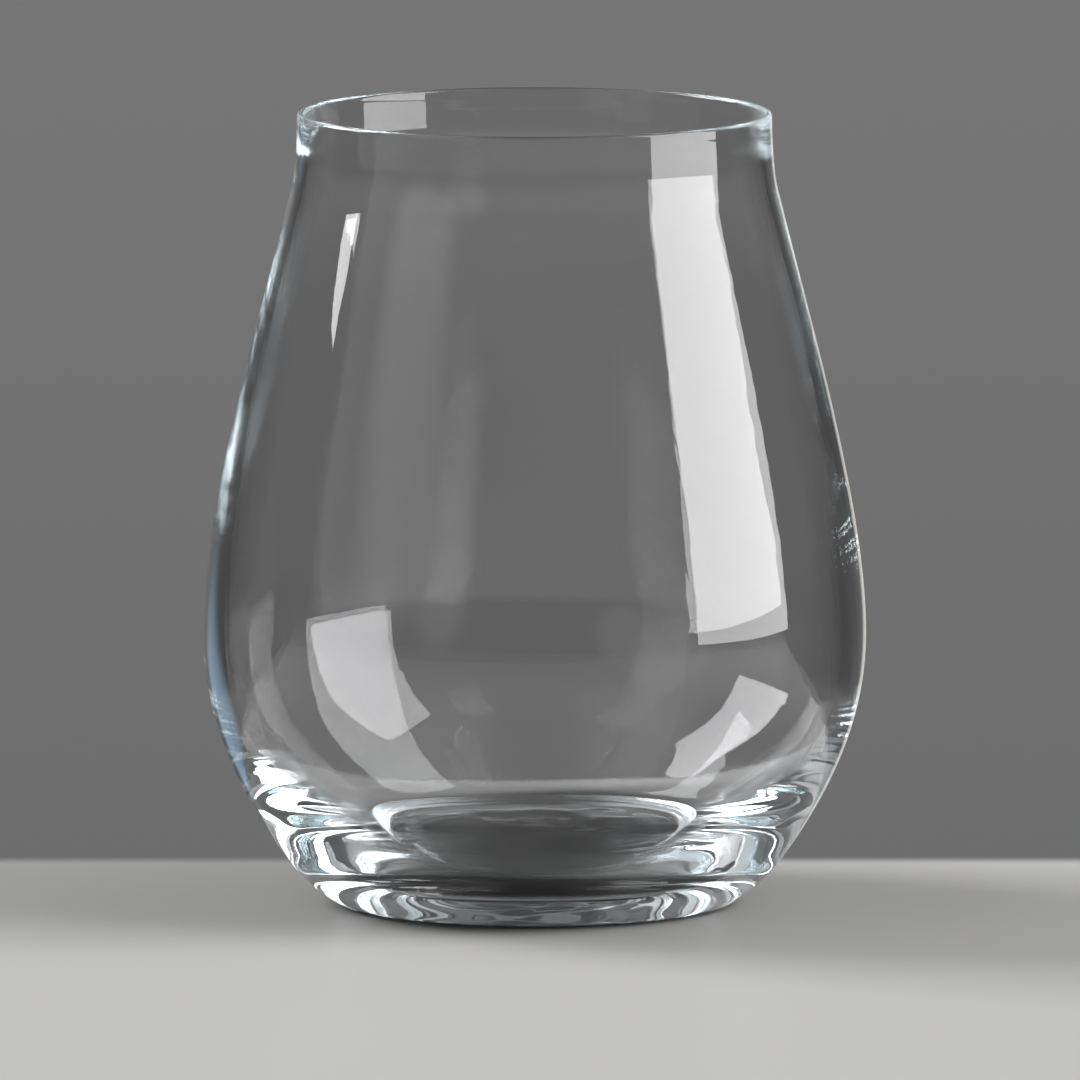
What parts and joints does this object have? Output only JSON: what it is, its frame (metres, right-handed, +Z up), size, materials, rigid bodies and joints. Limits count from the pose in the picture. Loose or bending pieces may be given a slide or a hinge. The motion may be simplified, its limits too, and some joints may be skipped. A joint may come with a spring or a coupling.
{
  "type": "whisky tasting glass",
  "caption": "Stemless clear tasting glass: pear-shaped thin-walled bowl that narrows to an upright round lip, fused into a heavy rounded base with a flat foot ring.",
  "frame": {"origin": "centre of the foot ring, on the surface that the glass stands on", "axes": "+Z up along the axis of the glass; X and Y are free, because the glass is turned about Z"},
  "size_m": [0.0882, 0.0882, 0.1055],
  "materials": {
    "clear_glass": "polished, colourless with a faint cool tint in the thick base"
  },
  "bodies": {
    "root": {"bowl": "clear_glass", "base": "clear_glass"}
  },
  "joints": []
}
